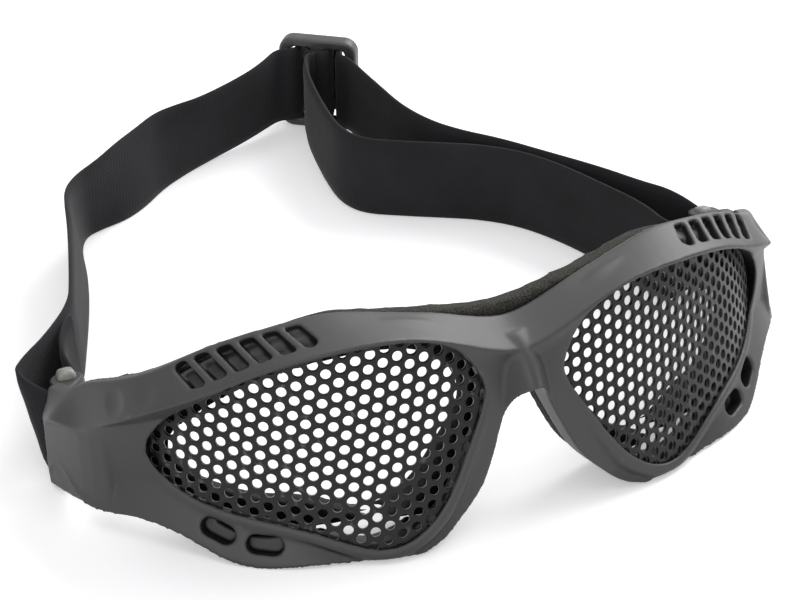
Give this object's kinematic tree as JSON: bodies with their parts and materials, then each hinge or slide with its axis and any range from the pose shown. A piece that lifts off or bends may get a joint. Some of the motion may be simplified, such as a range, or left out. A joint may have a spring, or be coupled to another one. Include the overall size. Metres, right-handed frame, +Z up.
{
  "type": "mesh safety goggles",
  "caption": "Wraparound safety goggles with perforated metal lenses, a foam face liner and an elastic strap with a sliding adjuster, standing on a table.",
  "frame": {"origin": "middle of the footprint on the table, with the frame's mirror plane at x = 0", "axes": "+Z up from the table, -Y the way the wearer looks, +X towards the wearer's left lens"},
  "size_m": [0.1672, 0.1761, 0.0456],
  "materials": {
    "frame_plastic": "fine matt moulded",
    "lens_steel": "satin black coating",
    "liner_foam": "closed cell foam",
    "pin_nylon": "translucent grey nylon",
    "strap_elastic": "woven elastic",
    "slider_plastic": "smooth moulded"
  },
  "bodies": {
    "goggles": {"front_frame": "frame_plastic", "left_mesh_lens": "lens_steel", "right_mesh_lens": "lens_steel", "foam_liner": "liner_foam", "left_strap_pin": "pin_nylon", "right_strap_pin": "pin_nylon", "strap": "strap_elastic"},
    "slider": {"strap_slider": "slider_plastic"}
  },
  "joints": [
    {"name": "slider_slide", "type": "slide", "parent": "goggles", "child": "slider", "axis": [-0.9, -0.436, 0], "range_m": [0, 0.03], "deforming": ["strap"]}
  ]
}
